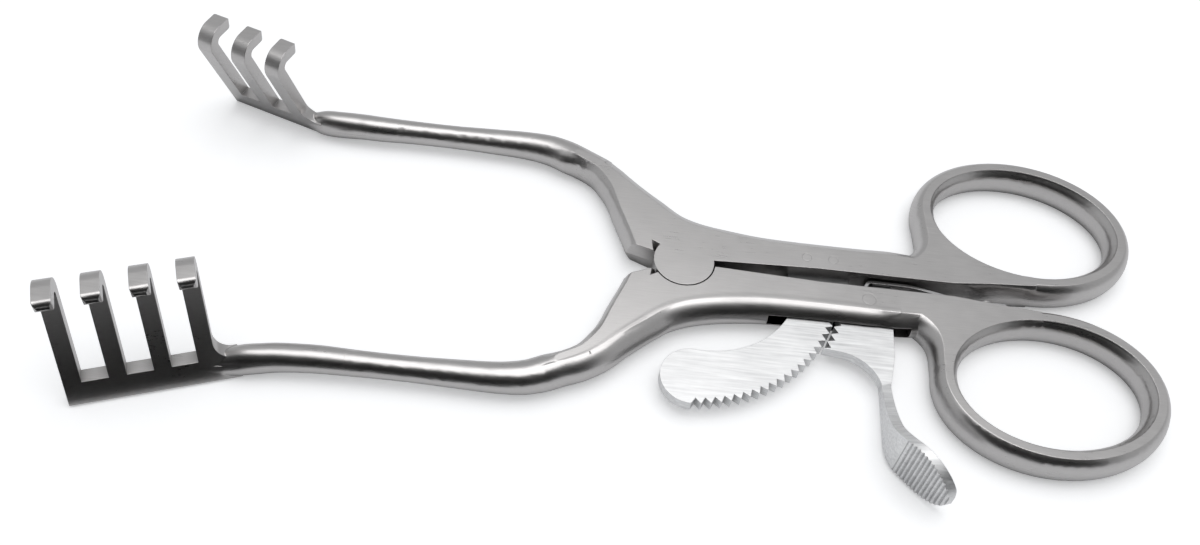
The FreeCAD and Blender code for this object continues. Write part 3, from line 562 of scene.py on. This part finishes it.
# The arms' forged shoulders run smoothly into the ground flats
def dressArm(node, body, side):
    source = nodes[node]
    mesh = source.data.copy()
    shaped = bmesh.new()
    shaped.from_mesh(mesh)
    bmesh.ops.remove_doubles(shaped, verts=shaped.verts, dist=arms["weldDistance"])
    shaped.to_mesh(mesh)
    shaped.free()
    count = trimShoulder(mesh, side)
    roundShank(mesh, side)
    shaped = bmesh.new()
    shaped.from_mesh(mesh)
    bmesh.ops.dissolve_degenerate(shaped, edges=shaped.edges, dist=arms["weldDistance"])
    cleanShoulder(shaped)
    addSwelling(shaped, node, side)
    if node == "near_arm":
        shaped.from_mesh(cutSlot(roundedSideMesh(side)))
    shaped.normal_update()
    markSharp(shaped)
    shaped.to_mesh(mesh)
    shaped.free()
    rough = bpy.data.objects.new("rough_" + node, mesh)
    bpy.context.scene.collection.objects.link(rough)
    weighted = rough.modifiers.new("weighted", "WEIGHTED_NORMAL")
    weighted.keep_sharp = True
    weighted.weight = arms["normalWeight"]
    made = evaluatedMesh(rough)
    bpy.data.objects.remove(rough)
    piece = bpy.data.objects.new("dressed_" + node, made)
    bpy.context.scene.collection.objects.link(piece)
    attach(piece, body)
    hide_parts(node)
    print("arm dressed:", node, count, len(made.polygons))


def addToStage(name, mesh, material):
    piece = bpy.data.objects.new(name, mesh)
    bpy.context.scene.collection.objects.link(piece)
    if material:
        mesh.materials.append(material)
    return piece


def flatSheet(name, corners):
    mesh = bpy.data.meshes.new(name)
    mesh.from_pydata(corners, [], [range(len(corners))])
    mesh.update()
    return mesh


def paperMaterial():
    material = bpy.data.materials.new("paper")
    material.use_nodes = True
    tree = material.node_tree
    tree.nodes.clear()
    start = Value(tree, None)
    path = start.node("ShaderNodeLightPath", output=0)
    matt = start.node("ShaderNodeBsdfDiffuse", {"Color": (*stage["floorColor"], 1.0)})
    glow = start.node("ShaderNodeEmission", {"Strength": path * stage["floorGlow"]})
    whole = start.node("ShaderNodeAddShader", {0: matt, 1: glow})
    output = tree.nodes.new("ShaderNodeOutputMaterial")
    tree.links.new(whole.socket, output.inputs["Surface"])
    return material


def blackCardMaterial():
    material, tree, surface, start = newMaterial("blackCard")
    surface.inputs["Base Color"].default_value = (0.01, 0.01, 0.01, 1.0)
    surface.inputs["Roughness"].default_value = 1.0
    surface.inputs["Specular IOR Level"].default_value = 0.0
    return material


def buildStage():
    half = stage["floorSize"] / 2
    low = stage["restHeight"]
    corners = [(-half, -half, low), (half, -half, low), (half, half, low), (-half, half, low)]
    floor = flatSheet("floor", corners)
    addToStage("floor", floor, paperMaterial())
    wide = lamps["cardWidth"] / 2
    depth = -lamps["cardDepth"]
    leaned = depth + lamps["cardLean"]
    high = lamps["cardHeight"]
    card = flatSheet("frontCard", [
        (-wide, depth, low), (wide, depth, low), (wide, leaned, high), (-wide, leaned, high)])
    card = addToStage("frontCard", card, blackCardMaterial())
    flag = flatSheet("lowCard", [(x, y, low + stage["lowCardLift"]) for x, y in stage["lowCard"]])
    flag = addToStage("lowCard", flag, card.data.materials[0])
    for dark in (card, flag):
        dark.visible_camera = False
        dark.visible_shadow = False
        dark.visible_diffuse = False

    world = bpy.data.worlds.new("room")
    bpy.context.scene.world = world
    world.use_nodes = True
    tree = world.node_tree
    tree.nodes.clear()
    start = Value(tree, None)
    seen = start.node("ShaderNodeLightPath", output=0)
    room = start.node(
        "ShaderNodeBackground", {"Color": (*stage["roomColor"], 1.0), "Strength": stage["roomGrey"]})
    white = start.node("ShaderNodeBackground", {"Color": (1.0, 1.0, 1.0, 1.0), "Strength": 1.0})
    whole = start.node("ShaderNodeMixShader", {0: seen, 1: room, 2: white})
    output = tree.nodes.new("ShaderNodeOutputWorld")
    tree.links.new(whole.socket, output.inputs["Surface"])


def buildLamps():
    data = bpy.data.lights.new("overhead", "AREA")
    data.shape = "SQUARE"
    data.size = lamps["overheadSize"]
    data.energy = lamps["overheadPower"]
    lamp = bpy.data.objects.new("overhead", data)
    lamp.location = lamps["overheadPlace"]
    bpy.context.scene.collection.objects.link(lamp)
    lamp.rotation_euler = (-lamp.location).to_track_quat("-Z", "Y").to_euler()
    lamp.visible_camera = False


def buildCamera():
    data = bpy.data.cameras.new("camera")
    data.lens = camera["lens"]
    data.sensor_width = 36.0
    data.clip_start = 0.005
    view = bpy.data.objects.new("camera", data)
    bpy.context.scene.collection.objects.link(view)
    heading = math.radians(camera["heading"])
    elevation = math.radians(camera["elevation"])
    roll = math.radians(camera["roll"])
    back = Vector((
        math.sin(heading) * math.cos(elevation),
        -math.cos(heading) * math.cos(elevation),
        math.sin(elevation)))
    level = (-back).cross(Vector((0.0, 0.0, 1.0))).normalized()
    upright = level.cross(-back)
    right = level * math.cos(roll) + upright * math.sin(roll)
    upwards = upright * math.cos(roll) - level * math.sin(roll)
    turn = Matrix((right, upwards, back)).transposed().to_4x4()
    view.matrix_world = Matrix.Translation(Vector(camera["place"])) @ turn
    bpy.context.scene.camera = view


for piece in nodes.values():
    shadeSmooth(piece, smallPieces["sharpAngle"])
buildFinishes()
print("finishes made")
dressArm("near_arm", "near_side", -1)
dressArm("far_arm", "far_side", 1)
buildStage()
buildLamps()
print("stage and lamps made")
buildCamera()
print("camera made")

bpy.context.scene.view_settings.view_transform = "Standard"
